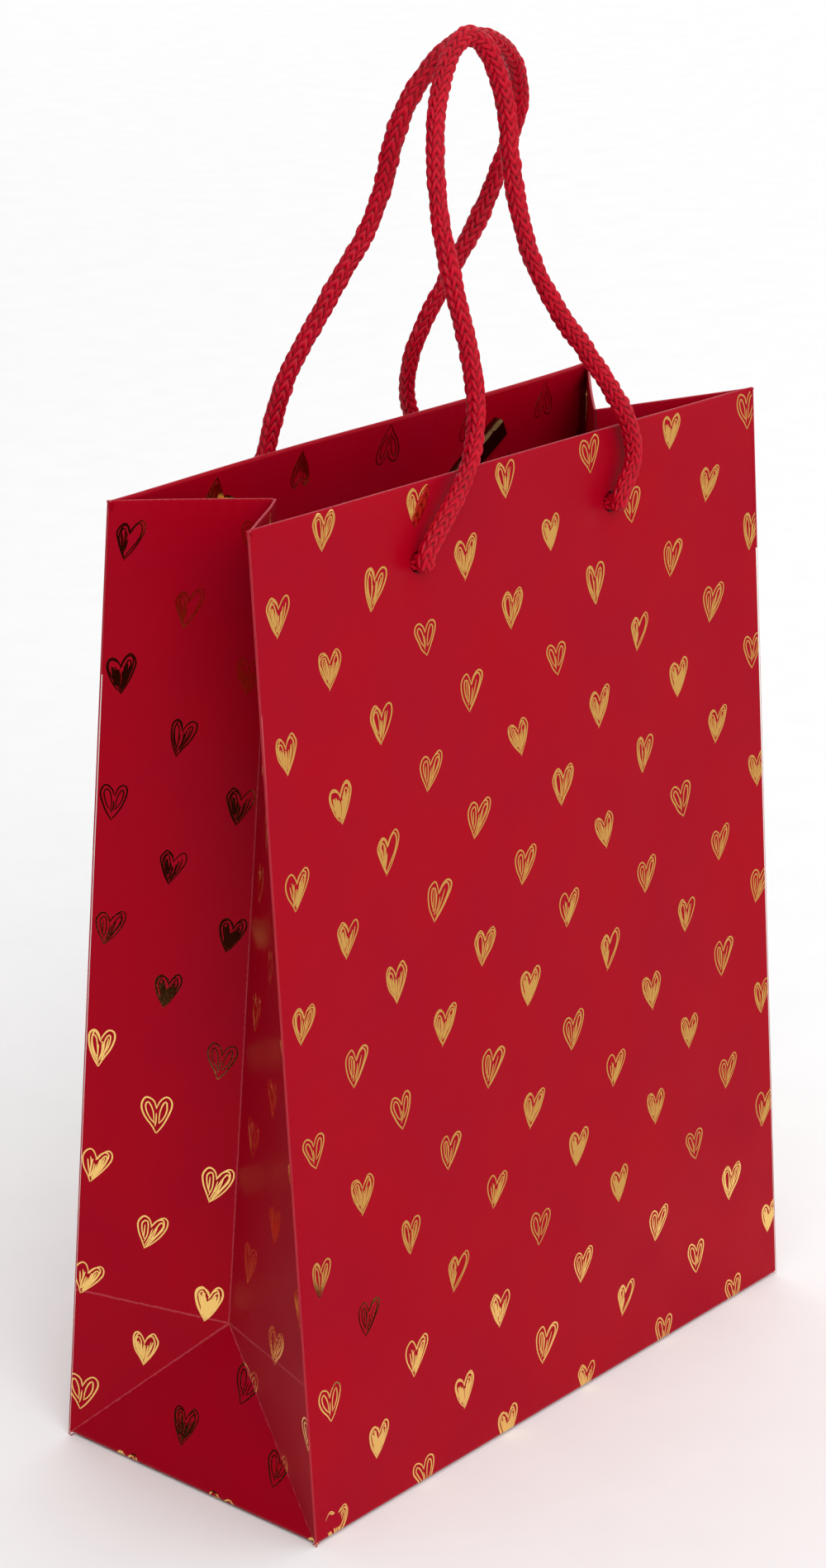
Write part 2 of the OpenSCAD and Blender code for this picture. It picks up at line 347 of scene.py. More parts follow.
def dents(side, a, v):
    """How far a panel's face is pushed in at (a, v): soft waves, and hollows beside the cords."""
    inside = smooth(HALF_W - np.abs(a), 0, 18) * smooth(v, 0, 25) * smooth(BAG_H - v, 0, 30)
    near_mouth = smooth(HALF_W - np.abs(a), 0, 25) * smooth(v, 120, 235)
    total = inside * 0.3 * ripple(11 + side, a, v, 95.0)
    total += inside * 0.05 * ripple(21 + side, a, v, 24.0)
    total += near_mouth * 0.25 * np.sin(a / 31 + side)
    for x in HOLE_XS:
        hollow = np.exp(-(((side * a - x + 4.5) / 3.2) ** 2) - ((v - HOLE_V) / 9) ** 2)
        total += 0.55 * hollow
    if side > 0:  # a crushed corner and an old fold at the lower left
        x = a + HALF_W
        held = smooth(x, 0, 2) * smooth(v, 0.8, 3) * smooth(14 - np.hypot(x, v), 0, 12)
        total += held * (0.25 + 0.3 * ripple(41, a, v, 7.0, 4))
        gap = x * 26 / 34 - v * 22 / 34
        total += 0.16 * (smooth(x, 0, 3) * smooth(30 - x, 0, 14)) * np.exp(-((gap / 0.9) ** 2))
    return total


def back_twist(p):
    """The back panel's top edge isn't parallel to the front's: p swings with it."""
    q = p.copy()
    share = p[..., 0] / HALF_W
    q[..., 1] += BACK_TWIST * (p[..., 2] / BAG_H) * share * abs(share)
    return q


def on_panel(side, x, v, depth):
    """Point at x across and v up a panel, depth behind its printed face."""
    tilt = math.asin(LEAN[side] / BAG_H)
    up = np.array([0, side * math.sin(tilt), math.cos(tilt)])
    inward = np.array([0, side * math.cos(tilt), -math.sin(tilt)])
    p = np.array([0, -side * HALF_D, 0]) + v[..., None] * up + depth[..., None] * inward
    p[..., 0] += x
    return back_twist(p) if side < 0 else p


def place_panel(side):
    """The front or back panel, with its rolled foot and its hem."""
    def place(a, b, d):
        v, depth = profile(b, d, panel_roll(a), FLAP_Z[side])
        return on_panel(side, side * a, v, depth + dents(side, a, v))
    return place


def place_gusset(side, hand):
    """Half a gusset, from a panel's crease to the centre fold."""
    def place(a, b, d):
        u = HALF_D - np.abs(np.abs(a) - HALF_W - HALF_D)
        u = np.where(side * (HALF_W + HALF_D - np.abs(a)) < 0, 2 * HALF_D - u, u)
        v, depth = profile(b, d, np.full_like(a, GUSSET_ROLL))
        p, q = crease(side, hand, v), fold(hand, v)
        across = unit(q - p)
        line = mirror(TIP - APEX, hand)
        inward = unit(-hand * side * np.cross(across, line))
        pillow = 0.35 * np.sin(np.clip(u / HALF_D, 0, 1) * math.pi) * smooth(v, 40, 90)
        wave = pillow * (1 + 0.5 * ripple(31 + side + 2 * hand, a, v, 60.0))
        return p + (q - p) * (u / HALF_D)[..., None] + inward * (depth + wave)[..., None]
    return place


def place_triangle(corners, flat, low=None, end=math.pi / 2):
    """A flat triangle between creases."""
    p = [np.asarray(c, float) for c in corners]
    f = np.array(flat, float)
    solve = np.linalg.inv(np.stack([f[1] - f[0], f[2] - f[0]], -1))
    inward = -unit(np.cross(p[1] - p[0], p[2] - p[0]))

    def place(a, b, d):
        v, depth = profile(b, d, np.full_like(a, GUSSET_ROLL), low, FOOT_ROLL, end)
        w = np.stack([a - f[0][0], v - f[0][1]], -1) @ solve.T
        flat_part = p[0] + w[..., :1] * (p[1] - p[0]) + w[..., 1:] * (p[2] - p[0])
        return flat_part + depth[..., None] * inward
    return place


def place_flap(side):
    """The front or back bottom flap, printed face down."""
    def place(a, b, d):
        return np.stack([side * a, -side * (HALF_D + b), FLAP_Z[side] + d], -1)
    return place


def place_side_flap(hand):
    """The left or right bottom flap, printed face down."""
    def place(a, b, d):
        y = hand * (a - hand * (HALF_W + HALF_D))
        return np.stack([hand * (HALF_W + b), y, SIDE_FLAP_Z + d], -1)
    return place


# ---- meshes

def add_object(name, points, faces, slots, materials, values):
    """A mesh object from points in millimetres. slots has a material number for each face,
    and values has a number or a vector for each point under each attribute's name."""
    mesh = bpy.data.meshes.new(name)
    mesh.from_pydata((np.asarray(points) * MM).tolist(), [], faces)
    for m in materials:
        mesh.materials.append(m)
    mesh.polygons.foreach_set("material_index", np.asarray(slots, np.int32))
    for key, data in values.items():
        kind, field = ("FLOAT_VECTOR", "vector") if data.ndim == 2 else ("FLOAT", "value")
        made = mesh.attributes.new(key, kind, "POINT")
        made.data.foreach_set(field, np.asarray(data, np.float32).ravel())
    mesh.polygons.foreach_set("use_smooth", np.ones(len(faces), bool))
    mesh.update()
    return new_object(name, mesh)


def on_sheet(flat):
    """Flat points as vectors, for the attribute that the paper's materials read."""
    return np.column_stack([flat, np.zeros(len(flat))])


def sides_of(outline):
    return zip(outline, np.roll(outline, -1, axis=0))


def edge_gap(points, outline):
    """Distance of each flat point from the outline."""
    best = np.full(len(points), 1e9)
    for p, q in sides_of(outline):
        line = q - p
        t = np.clip(((points - p) @ line) / (line @ line), 0, 1)
        best = np.minimum(best, np.linalg.norm(points - p - t[:, None] * line, axis=1))
    return best


def inside(points, outline):
    """True for each flat point inside the outline."""
    x, y = points[:, 0], points[:, 1]
    found = np.zeros(len(points), bool)
    for p, q in sides_of(outline):
        if p[1] == q[1]:
            continue
        crosses = (p[1] > y) != (q[1] > y)
        found ^= crosses & (x < (q[0] - p[0]) * (y - p[1]) / (q[1] - p[1]) + p[0])
    return found


def divided(outline, step):
    """The outline with points added along its long sides."""
    made = []
    for p, q in sides_of(outline):
        n = max(1, math.ceil(np.linalg.norm(q - p) / step))
        made += [p + (q - p) * k / n for k in range(n)]
    return np.array(made)


def circle(x, y, r, n=28):
    turns = [math.tau * k / n for k in range(n)]
    return np.array([(x + r * math.cos(t), y + r * math.sin(t)) for t in turns])


RIM_INSETS = (0.3, 0.75, 1.5)  # rows of points inside an outline, which shape its rim
HOLE_RINGS = (0.6, 1.6, 3.2)  # rings of points round a hole


def triangulate(outline, holes, cuts, step):
    """Flat points and triangles that fill an outline, with lines at the heights in cuts."""
    edge = divided(outline, step)
    rims = [circle(x, y, r) for x, y, r in holes]
    low, high = outline.min(0), outline.max(0)
    xs, ys = (np.arange(low[k] + step / 2, high[k], step) for k in range(2))
    grid = np.stack(np.meshgrid(xs, ys), -1).reshape(-1, 2)
    loose = [grid[inside(grid, outline) & (edge_gap(grid, outline) > step * 0.45)]]
    for inset in RIM_INSETS:
        for p, q in sides_of(outline):
            line = q - p
            n = max(1, int(np.linalg.norm(line) / step))
            normal = np.array([-line[1], line[0]]) / np.linalg.norm(line)
            row = np.array([p + line * (k + 0.5) / n + normal * inset for k in range(n)])
            loose.append(row[inside(row, outline) & (edge_gap(row, outline) > inset * 0.9)])
    for x, y, r in holes:
        loose += [circle(x, y, r + extra, 20) for extra in HOLE_RINGS]
    loose = np.concatenate(loose)
    for x, y, r in holes:
        away = np.hypot(loose[:, 0] - x, loose[:, 1] - y)
        loose = loose[away > r + 0.3]
    points, faces, edges = [*edge], [list(range(len(edge)))], []
    for rim in rims:
        faces.append(list(range(len(points), len(points) + len(rim))))
        points += [*rim]
    for height in cuts:
        across = np.arange(low[0], high[0] + step, step)
        row = np.stack([across, np.full(len(across), height)], -1)
        row[-1, 0] = high[0]
        start = len(points)
        points += [*row]
        edges += [(start + k, start + k + 1) for k in range(len(row) - 1)]
    points += [*loose]
    out = delaunay_2d_cdt([Vector(p) for p in points], edges, faces, 0, 1e-4, True)
    flat = np.array([tuple(p) for p in out[0]])
    in_hole = set(range(1, len(faces)))
    tris = [t for t, kept in zip(out[2], out[5]) if 0 in kept and in_hole.isdisjoint(kept)]
    return packed_mesh(flat, tris)


def packed_mesh(flat, tris):
    """Drops unused points, and turns every triangle anticlockwise."""
    tris = np.array(tris, int)
    p, q, r = (flat[tris[:, k]] for k in range(3))
    area = (q[:, 0] - p[:, 0]) * (r[:, 1] - p[:, 1]) - (q[:, 1] - p[:, 1]) * (r[:, 0] - p[:, 0])
    tris = tris[np.abs(area) > 1e-7]
    area = area[np.abs(area) > 1e-7]
    tris[area < 0] = tris[area < 0][:, ::-1]
    used, tris = np.unique(tris, return_inverse=True)
    return flat[used], tris.reshape(-1, 3)


def border(tris):
    """Directed edges that only one triangle has."""
    seen = {}
    for t in tris.tolist():
        for i, j in ((t[0], t[1]), (t[1], t[2]), (t[2], t[0])):
            seen[(i, j)] = True
    return [e for e in seen if (e[1], e[0]) not in seen]


def outward(flat, rim):
    """For each rim point, the flat direction away from the sheet."""
    normals = np.zeros_like(flat)
    for i, j in rim:
        d = flat[j] - flat[i]
        n = np.array([d[1], -d[0]]) / max(np.linalg.norm(d), 1e-9)
        normals[i] += n
        normals[j] += n
    size = np.linalg.norm(normals, axis=1, keepdims=True)
    return normals / np.maximum(size, 1e-9)


class Region:
    """One part of the sheet between creases: its flat outline and where it lies in space."""

    def __init__(self, outline, place, cuts=(), holes=(), worn=(), raw=None, lined=False, step=4.0):
        self.outline, self.place = np.array(outline, float), place
        self.cuts, self.holes, self.step = sorted(cuts), list(holes), step
        self.worn, self.raw, self.lined = worn, raw, lined

    def wear_and_highlight(self, flat):
        """Distance to each crease, and how worn it is with its painted highlight, from 0 to 1, for six
        creases.
        """
        gaps, strengths = np.full((len(flat), 6), 9.0), np.zeros((len(flat), 6))
        for k, (p, q, worn) in enumerate(self.worn):
            p, q = np.array(p, float), np.array(q, float)
            t = np.clip(((flat - p) @ (q - p)) / ((q - p) @ (q - p)), 0, 1)
            gaps[:, k] = np.linalg.norm(flat - p - t[:, None] * (q - p), axis=1)
            strengths[:, k] = worn
        return gaps, strengths

    def solid(self, name, thick, materials, bulge=0.1):
        """The sheet as a closed mesh: printed face, rounded rim and inner face."""
        flat, tris = triangulate(self.outline, self.holes, self.cuts, self.step)
        rim = border(tris)
        away = outward(flat, rim)
        a, b = flat[:, 0], flat[:, 1]
        top = self.place(a, b, np.zeros_like(a))
        low = self.place(a, b, np.full_like(a, thick))
        on_rim = sorted({i for e in rim for i in e})
        number = {i: k for k, i in enumerate(on_rim)}
        ring = flat[on_rim] + away[on_rim] * bulge
        mid = self.place(ring[:, 0], ring[:, 1], np.full(len(ring), thick / 2))
        n = len(flat)
        faces = tris.tolist() + (tris[:, ::-1] + n).tolist()
        height = flat[tris].mean(1)[:, 1]
        lined = self.lined & (height > HEM_END) & (height < BAG_H + 3)
        slots = [0] * len(tris) + np.where(lined, 0, 1).tolist()
        for i, j in rim:
            mi, mj = 2 * n + number[i], 2 * n + number[j]
            faces += [[j, i, mi, mj], [mj, mi, i + n, j + n]]
            cut = self.raw is not None and self.raw(*((flat[i] + flat[j]) / 2))
            slots += [1 if cut else 0] * 2
        where = np.concatenate([flat, flat, ring])
        gaps, strengths = self.wear_and_highlight(where)
        values = {
            "sheet": on_sheet(where),
            "crease_gaps_a": gaps[:, :3], "crease_gaps_b": gaps[:, 3:],
            "crease_wear_and_highlight_a": strengths[:, :3], "crease_wear_and_highlight_b": strengths[:, 3:],
        }
        obj = add_object(name, np.concatenate([top, low, mid]), faces, slots, materials, values)
        obj.data.set_sharp_from_angle(angle=math.radians(50))
        return obj


# ---- hearts

HEART_W, HEART_H = 7.5, 8.7
# The outer and the inner outline of a heart's right half, as shares of its size.
LOBE = [
    (0.0, 0.19), (0.11, 0.39), (0.29, 0.5), (0.44, 0.42),
    (0.48, 0.23), (0.36, -0.05), (0.17, -0.3), (0.0, -0.5),
]
PETAL = [
    (0.07, -0.2), (0.1, 0.08), (0.19, 0.3), (0.29, 0.36),
    (0.35, 0.27), (0.31, 0.09), (0.2, -0.1), (0.07, -0.24),
]

# Where the filling strokes start and stop across the heart.
PARTLY_FILLED = ((-0.34, 0.06), (-0.1, 0.32), (-0.34, 0.3))
FILLED = (-0.36, 0.34)


def with_ends(points):
    """The points and one more past each end, as a smooth curve needs."""
    p = np.asarray(points, float)
    return np.concatenate([[2 * p[0] - p[1]], p, [2 * p[-1] - p[-2]]])


def between(p, k, t):
    """The point a share t of the way from p[k] to p[k + 1] on a smooth curve through p."""
    return 0.5 * (2 * p[k] + (p[k + 1] - p[k - 1]) * t
                  + (2 * p[k - 1] - 5 * p[k] + 4 * p[k + 1] - p[k + 2]) * t**2
                  + (3 * p[k] - p[k - 1] - 3 * p[k + 1] + p[k + 2]) * t**3)


def spline(points, count):
    """A smooth stroke of count points through the given ones."""
    p = with_ends(points)
    runs = np.linspace(1, len(p) - 2 - 1e-6, count)
    return np.array([between(p, int(t), t - int(t)) for t in runs])


def ribbon(points, width):
    """Quads along a stroke that thins at both ends."""
    along = np.gradient(points, axis=0)
    side = np.stack([-along[:, 1], along[:, 0]], -1)
    side /= np.maximum(np.linalg.norm(side, axis=1, keepdims=True), 1e-9)
    t = np.linspace(0, 1, len(points))
    half = width / 2 * (0.5 + 0.5 * np.sin(np.pi * t) ** 0.5)[:, None]
    left, right = points + side * half, points - side * half
    return [[right[k], right[k + 1], left[k + 1], left[k]] for k in range(len(points) - 1)]


def scribble_heart(seed, fill):
    """Quads of one hand-drawn heart. fill runs from 0, an outline, to 3, nearly solid."""
    rng = random.Random(seed)
    size = np.array([HEART_W, HEART_H])
    lean = np.array([[1, rng.uniform(-0.02, 0.2)], [0, 1]])
    tip = np.array([rng.uniform(-0.9, 0.2), 0])
    quads = []

    def draw(shape, lobe, wide, tall, width, count, wobble=0.16):
        line = np.array(shape) * size * [lobe * wide, tall]
        line += np.array([[rng.uniform(-wobble, wobble) for _ in range(2)] for _ in line])
        line += tip * np.clip(0.5 - line[:, 1:] / HEART_H, 0, 1)
        quads.extend(ribbon(spline(line @ lean.T, count), width))

    for lobe in (-1, 1):
        wide, tall = rng.uniform(0.82, 1.05), rng.uniform(0.92, 1.05)
        draw(LOBE, lobe, wide, tall, rng.uniform(0.34, 0.5), 18)
        if fill == 0 or rng.random() < 0.6:
            draw(PETAL, lobe, wide, tall, 0.36, 13, 0.14)
        if fill > 0 and rng.random() < 0.7:
            draw(LOBE, lobe, wide * rng.uniform(0.76, 0.88), tall * 0.9, 0.38, 16, 0.22)
    first, last = rng.choice(PARTLY_FILLED) if fill < 2 else FILLED
    strokes, width = ((1, 0.34), (4, 0.36), (8, 0.42), (11, 0.62))[fill]
    for k in range(strokes):
        x = first + (last - first) * (k + 0.5) / strokes + rng.uniform(-0.02, 0.02)
        notch = 0.2 * math.exp(-((x / 0.13) ** 2))
        top = (x, 0.34 - notch - 0.5 * max(abs(x) - 0.26, 0) - rng.uniform(0.0, 0.12))
        foot_x = 0.42 * x - 0.05
        foot = (foot_x, -0.47 + 1.1 * abs(foot_x) + rng.uniform(0, 0.12))
        bend = ((top[0] + foot[0]) / 2 + rng.uniform(0, 0.05), (top[1] + foot[1]) / 2)
        draw([top, bend, foot], 1, 0.95, 0.97, width * rng.uniform(0.8, 1.2), 6, 0.1)
    return np.array(quads)


def merge(quads, outline=None, cuts=()):
    """Flat points and triangles of all the quads together, cut to an outline and along lines."""
    low, high = quads.min((0, 1)), quads.max((0, 1))
    points = [Vector(p) for q in quads for p in q]
    edges = [(4 * k + j, 4 * k + (j + 1) % 4) for k in range(len(quads)) for j in range(4)]
    if outline is not None:
        start = len(points)
        points += [Vector(p) for p in outline]
        edges += [(start + k, start + (k + 1) % len(outline)) for k in range(len(outline))]
    for height in cuts:
        if low[1] < height < high[1]:
            edges.append((len(points), len(points) + 1))
            points += [Vector((low[0], height)), Vector((high[0], height))]
    out = delaunay_2d_cdt(points, edges, [], 0, 1e-3, False)
    flat = np.array([tuple(p) for p in out[0]])
    tris = np.array(out[2], int)
    middle = flat[tris].mean(1)
    kept = np.zeros(len(tris), bool)
    for q in quads:
        kept |= inside(middle, q)
    if outline is not None:
        kept &= inside(middle, outline)
    return packed_mesh(flat, tris[kept]) if kept.any() else None


FILLS = (0, 1, 2, 1, 3, 2, 1, 0, 2, 3, 1, 2, 1, 0, 2, 1)
HEARTS = [scribble_heart(100 + k, fill) for k, fill in enumerate(FILLS)]
MERGED = [merge(h) for h in HEARTS]
ROW, COLUMN = 15.2, 30.85  # spacing of the hearts; alternate rows are half a column apart
FOIL_ABOVE, FOIL_BELOW = 0.035, 0.02  # the foil's faces, above and below the print


def lattice(region, corner, seed):
    """Places of the hearts that touch a region: centre, turn, scale and drawing."""
    low, high = region.outline.min(0) - HEART_H, region.outline.max(0) + HEART_H
    found = []

    def numbers(first, last, step):
        return range(math.floor(first / step), math.ceil(last / step) + 1)

    for j in numbers(corner[1] - high[1], corner[1] - low[1], ROW):
        shift = corner[0] - corner[2] * j * ROW + (COLUMN / 2 if j % 2 else 0)
        for i in numbers(low[0] - shift, high[0] - shift, COLUMN):
            rng = random.Random(f"{seed} {i} {j}")
            centre = np.array([shift + i * COLUMN, corner[1] - j * ROW])
            centre += [rng.uniform(-0.5, 0.5), rng.uniform(-0.4, 0.4)]
            turn, scale = rng.uniform(-0.12, 0.12), rng.uniform(0.92, 1.06)
            found.append((centre, turn, scale, rng.randrange(len(HEARTS))))
    return found


def foil(name, region, corner, seed, foot=None):
    """The foil hearts on a region, as thin closed shapes that stand a hair above the print.
    With foot they stop at that height along the sheet."""
    outline = region.outline.copy()
    if foot is not None:
        outline[:, 1] = np.maximum(outline[:, 1], foot)
    points, flats, faces = [], [], []
    count = 0
    for centre, turn, scale, drawing in lattice(region, corner, seed):
        c, s = math.cos(turn), math.sin(turn)
        spin = scale * np.array([[c, -s], [s, c]])
        reach = np.array([HEART_W, HEART_H]) * 0.62
        box = centre + np.array([(-1, -1), (1, -1), (1, 1), (-1, 1)]) * reach
        whole = inside(box, outline).all() and (edge_gap(box, outline) > 0.2).all()
        whole = whole and not any(box[0][1] < c < box[2][1] for c in region.cuts)
        if whole:
            flat, tris = MERGED[drawing]
            flat = flat @ spin.T + centre
        else:
            made = merge(HEARTS[drawing] @ spin.T + centre, outline, region.cuts)
            if made is None:
                continue
            flat, tris = made
        a, b = flat[:, 0], flat[:, 1]
        top = region.place(a, b, np.full_like(a, -FOIL_ABOVE))
        low = region.place(a, b, np.full_like(a, FOIL_BELOW))
        n = len(flat)
        faces += (tris + count).tolist() + (tris[:, ::-1] + n + count).tolist()
        faces += [[j + count, i + count, i + n + count, j + n + count] for i, j in border(tris)]
        points += [top, low]
        flats += [flat, flat]
        count += 2 * n
    values = {"sheet": on_sheet(np.concatenate(flats))}
    obj = add_object(name, np.concatenate(points), faces, [0] * len(faces), [GOLD], values)
    obj.data.polygons.foreach_set("use_smooth", np.zeros(len(faces), bool))
    return obj


# ---- the sheet

def span(low, high, count):
    return [low + (high - low) * k / (count - 1) for k in range(count)]


# How worn each kind of crease is, with its painted highlight, from 0 to 1.
MOUTH_WEAR_AND_HIGHLIGHT = 0.6
CREASE_WEAR_AND_HIGHLIGHT = 0.25
FOLD_WEAR_AND_HIGHLIGHT = 0.4
FOOT_WEAR_AND_HIGHLIGHT = 0.3
DENT_WEAR_AND_HIGHLIGHT = 0.2


def hem_end(roll):
    """Length along the sheet of the hem's cut edge."""
    return (BAG_H - roll) * 2 + math.pi * roll - HEM_END


def panel_region(side):
    low = FLAP_Z[side]
    foot_end = low + FOOT_ROLL - math.pi / 2
    end, mitre = hem_end(PANEL_ROLL), BAG_H + 1.9
    outline = [
        (-HALF_W, foot_end), (HALF_W, foot_end), (HALF_W, mitre), (HEM_HALF_W, mitre + 4.5),
        (HEM_HALF_W, end), (-HEM_HALF_W, end), (-HEM_HALF_W, mitre + 4.5), (-HALF_W, mitre),
    ]
    holes = []
    for x in HOLE_XS:
        in_hem = 2 * (BAG_H - PANEL_ROLL) + math.pi * PANEL_ROLL - HOLE_V
        holes += [(side * x, HOLE_V, HOLE_R), (side * x, in_hem, HOLE_R)]
    worn = [
        ((-HALF_W, 0), (-HALF_W, BAG_H), CREASE_WEAR_AND_HIGHLIGHT),
        ((HALF_W, 0), (HALF_W, BAG_H), CREASE_WEAR_AND_HIGHLIGHT),
        ((-HALF_W, low + 0.4), (HALF_W, low + 0.4), FOOT_WEAR_AND_HIGHLIGHT),
        ((-HALF_W, BAG_H + 0.3), (HALF_W, BAG_H + 0.3), MOUTH_WEAR_AND_HIGHLIGHT),
    ]
    if side > 0:
        worn.append(((-HALF_W, 0), (-76, 9), DENT_WEAR_AND_HIGHLIGHT))
    cuts = span(BAG_H - PANEL_ROLL, BAG_H + 1.62, 9)
    cuts += span(foot_end + 0.3, low + FOOT_ROLL, 5) + [HEM_END]
    return Region(outline, place_panel(side), cuts, holes, worn, cut_above(end), True)


def cut_above(end):
    """Says which rim edges are the raw cut at the end of the hem."""
    return lambda a, b: b > end - 0.2


def gusset_edges(side, hand):
    """Places on the sheet of a gusset half's crease with its panel, and of the centre fold."""
    near = hand * HALF_W if side > 0 else hand * (HALF_W + 2 * HALF_D)
    return near, hand * (HALF_W + HALF_D)


def gusset_region(side, hand):
    near, middle = gusset_edges(side, hand)
    inner = near + math.copysign(5.5, middle - near)
    end, mitre = hem_end(GUSSET_ROLL), BAG_H + 0.8
    outline = [
        (near, HALF_D), (middle, HALF_D), (middle, end),
        (inner, end), (inner, mitre + 5), (near, mitre),
    ]
    if near > middle:
        outline.reverse()
    worn = [
        ((near, HALF_D), (near, BAG_H), CREASE_WEAR_AND_HIGHLIGHT),
        ((middle, HALF_D), (middle, BAG_H), FOLD_WEAR_AND_HIGHLIGHT),
        ((near, HALF_D), (middle, HALF_D), FOLD_WEAR_AND_HIGHLIGHT),
        ((near, BAG_H + 0.2), (middle, BAG_H + 0.2), MOUTH_WEAR_AND_HIGHLIGHT),
    ]
    cuts = span(BAG_H - GUSSET_ROLL, BAG_H + 0.71, 6) + [HEM_END]
    return Region(outline, place_gusset(side, hand), cuts, (), worn, cut_above(end), True)


def at(side, hand, v):
    """One point of a vertical crease."""
    return crease(side, hand, np.array([float(v)]))[0]


def corner_region(side, hand):
    near, middle = gusset_edges(side, hand)
    flat = [(near, 0.0), (near, HALF_D), (middle, HALF_D)]
    points = [at(side, hand, 0), at(side, hand, HALF_D), mirror(APEX, hand)]
    if near < middle:
        flat, points = [flat[0], flat[2], flat[1]], [points[0], points[2], points[1]]
    worn = [
        ((near, 0), (near, HALF_D), CREASE_WEAR_AND_HIGHLIGHT),
        ((near, 0), (middle, HALF_D), FOLD_WEAR_AND_HIGHLIGHT),
        ((near, HALF_D), (middle, HALF_D), FOLD_WEAR_AND_HIGHLIGHT),
    ]
    return Region(flat, place_triangle(points, flat), (), (), worn)


def side_region(hand):
    (first, middle), (last, _) = gusset_edges(1, hand), gusset_edges(-1, hand)
    flat = [(first, 0.0), (last, 0.0), (middle, HALF_D)]
    points = [at(1, hand, 0), at(-1, hand, 0), mirror(APEX, hand)]
    if hand < 0:
        flat, points = [flat[1], flat[0], flat[2]], [points[1], points[0], points[2]]
    low, end = 0.65, math.pi / 2 - math.atan2(HALF_W + APEX[0], APEX[2])
    foot_end = low + FOOT_ROLL - end
    outline = [
        (flat[0][0], 0.4), (flat[0][0] + 1.0, foot_end),
        (flat[1][0] - 1.0, foot_end), (flat[1][0], 0.4), flat[2],
    ]
    worn = [
        ((first, 0), (middle, HALF_D), FOLD_WEAR_AND_HIGHLIGHT),
        ((last, 0), (middle, HALF_D), FOLD_WEAR_AND_HIGHLIGHT),
        ((first, 0.8), (last, 0.8), CREASE_WEAR_AND_HIGHLIGHT),
    ]
    cuts = span(foot_end + 0.25, low + FOOT_ROLL, 5)
    return Region(outline, place_triangle(points, flat, low, end), cuts, (), worn)


FLAP_GAP = 1  # between a bottom flap and the creases round it


def cut_below(a, b):
    """True for a bottom flap's raw edges, which is all of them but the one at its crease."""
    return b < -1.5


def flap_region(side):
    w, slope, end = HALF_W - FLAP_GAP, 49, -50
    outline = [(-w + slope, end), (w - slope, end), (w, -FLAP_GAP), (-w, -FLAP_GAP)]
    return Region(outline, place_flap(side), raw=cut_below)


def side_flap_region(hand):
    m, w, end = hand * (HALF_W + HALF_D), HALF_D - FLAP_GAP, -51
    outline = [
        (m - w / 2, end), (m + w / 2, end), (m + w, end + w / 2),
        (m + w, -FLAP_GAP), (m - w, -FLAP_GAP), (m - w, end + w / 2),
    ]
    return Region(outline, place_side_flap(hand), raw=cut_below)


def bend_with(obj, side, hand, body):
    """Bakes a gusset piece's place into its mesh. It works out the line of the centre fold and the panel's
    crease, but doesn't use them.
    """
    still, line = mirror(APEX, hand), mirror(TIP - APEX, hand)
    edge = at(side, hand, BAG_H) - at(side, hand, 0)
    across = np.cross(line, edge)
    across /= np.linalg.norm(across)
    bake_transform(obj)


def finished(obj, slot, *nodes):
    if nodes:
        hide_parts(*nodes)
    return obj


# One heart's place on the sheet, and how far the columns lean.
FRONT_CORNER = (-67.2, 230.0, 0.0)
SIDE_CORNER = (-72.0, 225.6, 0.0107)
BACK_CORNER = (55.5, 241.7, 0.0)

FOIL_FOOT = 0.6  # the panels' foil stops here, clear of the bottom flaps when the mouth opens


def add_pair(stem, region, corner, seed, nodes, foot, attach, *where):
    """A region's paper and its foil hearts, each passed to attach with where."""
    sheet = region.solid(f"{stem}_sheet", PAPER, [RED, WHITE])
    attach(finished(sheet, "red_paper", *nodes), *where)
    attach(finished(foil(f"{stem}_foil", region, corner, seed, foot), "gold"), *where)


for side, face in SIDES:
    body, face_corner = f"{face}_side", FRONT_CORNER if side > 0 else BACK_CORNER
    region, nodes = panel_region(side), (f"{face}_panel", f"{face}_hem")
    add_pair(f"{face}_panel", region, face_corner, face, nodes, FOIL_FOOT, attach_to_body, body)
    for hand, name in HANDS:
        corner = SIDE_CORNER if hand < 0 else FRONT_CORNER
        stem, blend = f"{name}_{face}", (bend_with, side, hand, body)
        nodes = f"{stem}_gusset", f"{stem}_hem"
        add_pair(f"{stem}_gusset", gusset_region(side, hand), corner, name, nodes, None, *blend)
        nodes = (f"{stem}_corner",)
        add_pair(f"{stem}_corner", corner_region(side, hand), corner, name, nodes, None, *blend)
    nodes = (f"bottom_{face}_flap",)
    add_pair(f"bottom_{face}", flap_region(side), face_corner, face, nodes, None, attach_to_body, "base")

for hand, name in HANDS:
    corner = SIDE_CORNER if hand < 0 else FRONT_CORNER
    nodes = (f"{name}_side_triangle",)
    add_pair(f"{name}_side_triangle", side_region(hand), corner, name, nodes, None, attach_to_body, "base")
    sheet = side_flap_region(hand).solid(f"bottom_{name}_sheet", PAPER, [RED, WHITE])
    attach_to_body(finished(sheet, "red_paper", f"bottom_{name}_flap"), "base")


# ---- card and board

def rounded(left, right, low, high, radius, steps=5):
    """Outline of a rectangle with rounded corners, anticlockwise from the lower right."""
    made = []
    for quarter, x, y in ((-1, right - radius, low + radius), (0, right - radius, high - radius),
                          (1, left + radius, high - radius), (2, left + radius, low + radius)):
        for k in range(steps + 1):
            t = math.radians(90 * quarter + 90 * k / steps)
            made.append((x + radius * math.cos(t), y + radius * math.sin(t)))
    return made


def behind_panel(side, depth):
    def place(a, b, d):
        return on_panel(side, side * a, b, depth + d + dents(side, a, b))
    return place


